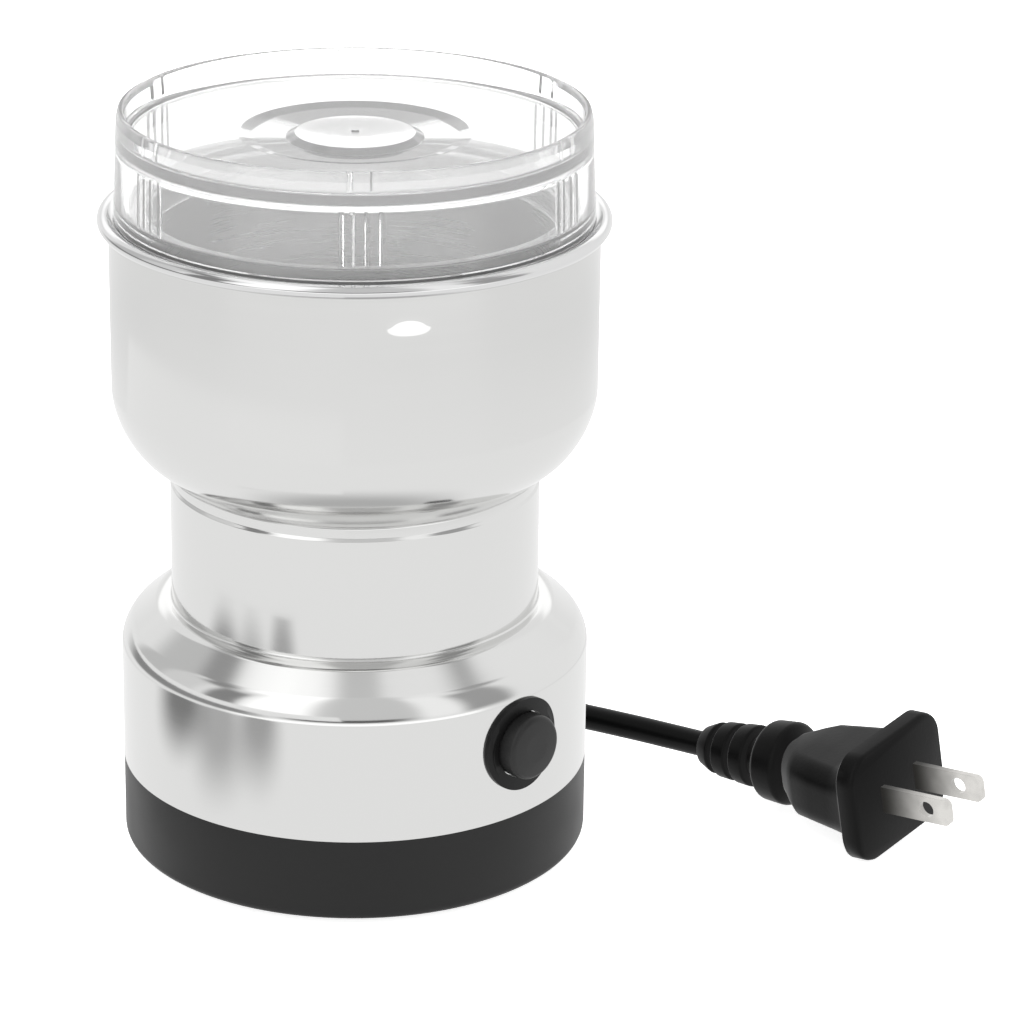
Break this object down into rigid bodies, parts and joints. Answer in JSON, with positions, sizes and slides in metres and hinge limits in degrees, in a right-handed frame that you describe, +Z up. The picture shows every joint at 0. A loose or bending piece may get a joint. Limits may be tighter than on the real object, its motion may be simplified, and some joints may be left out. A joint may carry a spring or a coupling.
{
  "type": "electric spice grinder",
  "caption": "Upright electric spice grinder: steel bowl with a spinning blade, lift-off clear lid, push button, black base and a two-blade mains lead.",
  "frame": {"origin": "on the surface it stands on, under the middle of the grinder's round body", "axes": "+Z up along the blade's shaft, -Y towards the front, the button is on the front right and the lead leaves at the back"},
  "size_m": [0.1966, 0.2006, 0.1693],
  "materials": {
    "satin_steel": "pressed stainless steel, satin",
    "polished_steel": "polished stainless steel",
    "plated_steel": "zinc-plated steel",
    "clear_lid": "clear moulded polystyrene",
    "black_abs": "moulded black ABS, fine texture",
    "gloss_black": "moulded black ABS, glossy",
    "rubber": "moulded rubber",
    "cord_pvc": "extruded black PVC",
    "white_nylon": "natural nylon",
    "brass": "turned brass",
    "copper": "enamelled copper wire and bars",
    "laminations": "stacked electrical steel",
    "carbon": "pressed carbon"
  },
  "bodies": {
    "housing": {"grinding_chamber": "polished_steel", "bowl_shell": "satin_steel", "lower_housing": "satin_steel", "base_cover": "black_abs", "rubber_feet": "rubber", "base_screws": "plated_steel", "button_bezel": "gloss_black", "button_nut": "white_nylon", "switch_body": "black_abs", "switch_terminals": "brass", "shaft_seal": "rubber", "chamber_bush": "black_abs", "chamber_spacer": "black_abs", "upper_bearing": "brass", "lower_bearing": "brass", "upper_bracket": "black_abs", "lower_bracket": "black_abs", "stator_core": "laminations", "field_coils": "copper", "brush_holders": "brass", "carbon_brushes": "carbon", "brush_springs": "plated_steel", "motor_bolts": "plated_steel", "mounting_screws": "plated_steel", "mounting_pads": "rubber", "cord_clamp": "white_nylon", "clamp_screws": "plated_steel", "inner_cord": "cord_pvc", "cord_gland": "cord_pvc", "cord_tail": "cord_pvc", "cord_coil": "cord_pvc", "cord_lead": "cord_pvc", "plug_body": "gloss_black", "plug_blades": "polished_steel"},
    "lid": {"lid": "clear_lid"},
    "rotor": {"grinding_blade": "polished_steel", "blade_hub": "brass", "blade_nut": "polished_steel", "motor_shaft": "plated_steel", "armature_core": "laminations", "armature_windings": "copper", "commutator": "copper", "cooling_fan": "white_nylon"},
    "button": {"button_cap": "gloss_black"}
  },
  "joints": [
    {"name": "lid_lift", "type": "slide", "parent": "housing", "child": "lid", "axis": [0, 0, 1], "range_m": [0, 0.06]},
    {"name": "rotor_spin", "type": "hinge", "parent": "housing", "child": "rotor", "pos_m": [0, 0, 0.1], "axis": [0, 0, 1], "continuous": true},
    {"name": "button_press", "type": "slide", "parent": "housing", "child": "button", "axis": [-0.6947, 0.7193, 0], "range_m": [0, 0.0025], "stiffness_N_per_m": 600}
  ]
}
